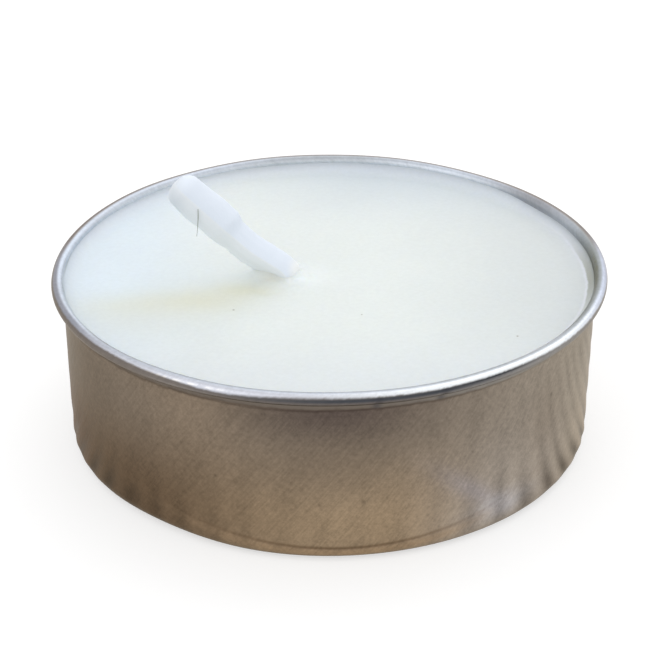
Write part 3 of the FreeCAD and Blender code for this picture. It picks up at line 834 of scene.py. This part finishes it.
def make_wax():
    """Paraffin: milky and a little see-through, with a faint yellowish painted shadow of the wick
    in front of it.

    At the right edge it is so thin that the metal shows through, painted as a dark olive
    reflection. Three specks of dust lie on it.
    """
    material, shader, place = new_material(
        "poured_wax", Subsurface_Weight=0.35, Subsurface_Scale=0.0025,
        Subsurface_Radius=(1.0, 0.85, 0.6), Specular_IOR_Level=0.35)
    across, along = place.part("X"), place.part("Y")
    degrees, radius = polar(place)
    cloud = place.noise(0.22, 3.0, 0.5)
    fine = place.noise(3.2, 3.0, 0.6)

    # Painted light and shade: it is darker and greyer towards the right and the front as painted
    # shade, bluer towards the left as a painted sky reflection, and darker and bluer at the back as
    # painted shade.
    colour = across.step(2, 19).mixed(tint(235, 241, 239), tint(217, 223, 224))
    back = along.step(5, 19) * (0.15 + across.step(-10, 4) * 0.75)
    colour = back.mixed(colour, tint(210, 220, 227))
    colour = (across.step(-6, -15) * 0.9).mixed(colour, tint(228, 240, 249))
    colour = (along.step(-7, -16) * 0.8).mixed(colour, tint(228, 234, 237))

    # Painted light: it is whiter round the wick and on a drop beside it, over their shade, with a
    # warm painted shadow under the wick, a yellowish painted shadow of the wick in front of it and a
    # grey-green painted shade further to the front left.
    round_wick = across.bell(-2.2, 2.2) * along.bell(-0.4, 1.8)
    colour = (round_wick * 0.7).mixed(colour, tint(246, 252, 252))
    drop = across.bell(-1.8, 0.9) * along.bell(-1.3, 0.7)
    colour = (drop * 0.9).mixed(colour, tint(247, 255, 255))
    warm_shadow = across.bell(-3.9, 0.9) * along.bell(-1.35, 0.55)
    colour = (warm_shadow * 0.45).mixed(colour, tint(237, 234, 218))
    for spot_across, spot_along, width, strength in ((-5.6, -2.8, 1.5, 0.65), (-8.8, -4.3, 2.5, 0.65),
                                                   (-13.0, -5.3, 3.0, 0.5)):
        wick_shadow = across.bell(spot_across, width * 1.4) * along.bell(spot_along, width * 0.7)
        colour = (wick_shadow * strength).mixed(colour, tint(225, 225, 200))
    shade = across.bell(-12.5, 4.2) * along.bell(-7.6, 2.6)
    colour = (shade * 0.6).mixed(colour, tint(225, 231, 229))

    # The edge is paler at the back as painted light over its shade; at the right it has a painted
    # highlight line and then thin wax painted dark olive as a reflection of the metal beneath; and it
    # is cracked at the left.
    back_edge = radius.step(16.8, 18.0) * degrees.unsigned().step(70, 115)
    colour = (back_edge * 0.6).mixed(colour, tint(236, 242, 248))
    wavy = radius + (cloud - 0.5) * 0.5 + (fine - 0.5) * 0.12
    edge_highlight = wavy.bell(17.66, 0.1) * degrees.bell(78, 34)
    colour = (edge_highlight * 0.6).mixed(colour, tint(240, 242, 250))
    thin_edge = wavy.step(17.68, 17.82) * degrees.bell(86, 14)
    colour = (thin_edge * 0.8).mixed(colour, tint(160, 162, 148))
    crack = radius.bell(18.08, 0.05) * degrees.bell(-92, 5)
    colour = (crack * 0.7).mixed(colour, tint(140, 146, 132))
    colour = colour.scaled(0.845 + cloud * 0.05 + fine * 0.11)

    for spot_across, spot_along, size in ((-6.32, -5.64, 0.07), (12.17, -9.41, 0.07),
                                        (2.17, -6.34, 0.05)):
        speck = across.bell(spot_across, size) * along.bell(spot_along, size)
        colour = (speck * 0.8).mixed(colour, tint(120, 112, 100))
    feed(shader, "Base Color", colour)
    feed(shader, "Roughness", 0.42 + (fine - 0.5) * 0.15)
    feed(shader, "Normal", bumped(fine, 0.006, bumped(cloud, 0.04)))
    return material


wax = closed_surface("tea_light_wax", wax_points())
wax.data.materials.append(make_wax())
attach(wax, "root")
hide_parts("wax")


# The studio: a pale floor that fades into a white surround, a large soft window lamp from
# the back right, and a weaker one from the front left.
FLOOR_WIDTH = 3.0
FLOOR_GAP = 0.00002
FLOOR_GLOW = (0.6, 0.6, 0.6, 1)
AMBIENT = 0.90
floor_mesh = bpy.data.meshes.new("studio_floor")
half_floor = FLOOR_WIDTH / 2
floor_mesh.from_pydata([(-half_floor, -half_floor, 0), (half_floor, -half_floor, 0),
                        (half_floor, half_floor, 0), (-half_floor, half_floor, 0)],
                       [], [(0, 1, 2, 3)])
floor = bpy.data.objects.new("studio_floor", floor_mesh)
bpy.context.scene.collection.objects.link(floor)
floor.location.z = -FLOOR_GAP

floor_material = bpy.data.materials.new("pale_floor")
floor_material.use_nodes = True
floor_shader = floor_material.node_tree.nodes["Principled BSDF"]
floor_shader.inputs["Base Color"].default_value = (0.5, 0.5, 0.5, 1)
floor_shader.inputs["Roughness"].default_value = 1.0
floor_shader.inputs["Specular IOR Level"].default_value = 0.0
floor_shader.inputs["Emission Strength"].default_value = 1.0
floor_ray = Socket(floor_material.node_tree)


def seen_directly(socket):
    """1 for a ray from the camera or off metal or through glass, and 0 for the rest."""
    camera_ray = socket.node("ShaderNodeLightPath", output="Is Camera Ray")
    glossy_ray = socket.node("ShaderNodeLightPath", output="Is Glossy Ray")
    clear_ray = socket.node("ShaderNodeLightPath", output="Is Transmission Ray")
    return camera_ray.maths("MINIMUM", camera_ray + glossy_ray + clear_ray, 1.0)


feed(floor_shader, "Emission Color", seen_directly(floor_ray).mixed((0, 0, 0, 1), FLOOR_GLOW))
floor_mesh.materials.append(floor_material)

surround = bpy.data.worlds.new("white_surround")
bpy.context.scene.world = surround
surround.use_nodes = True
surround_background = surround.node_tree.nodes["Background"]
surround_ray = seen_directly(Socket(surround.node_tree))
feed(surround_background, "Strength", surround_ray * (1.0 - AMBIENT) + AMBIENT)
surround_background.inputs["Color"].default_value = (1, 1, 1, 1)


def soft_lamp(name, bearing, elevation, distance, size, power):
    """A square lamp that faces the candle from a bearing and an elevation in degrees."""
    light = bpy.data.lights.new(name, "AREA")
    light.size = size
    light.energy = power
    lamp = bpy.data.objects.new(name, light)
    bpy.context.scene.collection.objects.link(lamp)
    turn, rise = math.radians(bearing), math.radians(elevation)
    towards = Vector((math.cos(turn) * math.cos(rise), math.sin(turn) * math.cos(rise),
                      math.sin(rise)))
    lamp.location = towards * distance + Vector((0, 0, 0.011))
    lamp.rotation_euler = towards.to_track_quat("Z", "Y").to_euler()


soft_lamp("window_lamp", bearing=70, elevation=50, distance=0.45, size=0.52, power=0.40)
soft_lamp("fill_lamp", bearing=215, elevation=40, distance=0.50, size=0.40, power=0.20)

# The camera stands where the photograph was taken from, as fitted to the cup's outline.
CAMERA_PLACE = Vector((0.0, -0.114444, 0.067665))
CAMERA_AIM = Vector((0.000285, 0.0, 0.006739))
CAMERA_ROLL = math.radians(-0.167)
camera_data = bpy.data.cameras.new("photograph_camera")
camera_data.lens = 99.796
camera_data.sensor_width = 36.0
camera_data.clip_start = 0.005
camera = bpy.data.objects.new("photograph_camera", camera_data)
bpy.context.scene.collection.objects.link(camera)
camera.location = CAMERA_PLACE
aim = (CAMERA_AIM - CAMERA_PLACE).to_track_quat("-Z", "Y")
camera.rotation_euler = (aim @ Quaternion((0, 0, 1), CAMERA_ROLL)).to_euler()
bpy.context.scene.camera = camera
bpy.context.scene.view_settings.view_transform = "Standard"
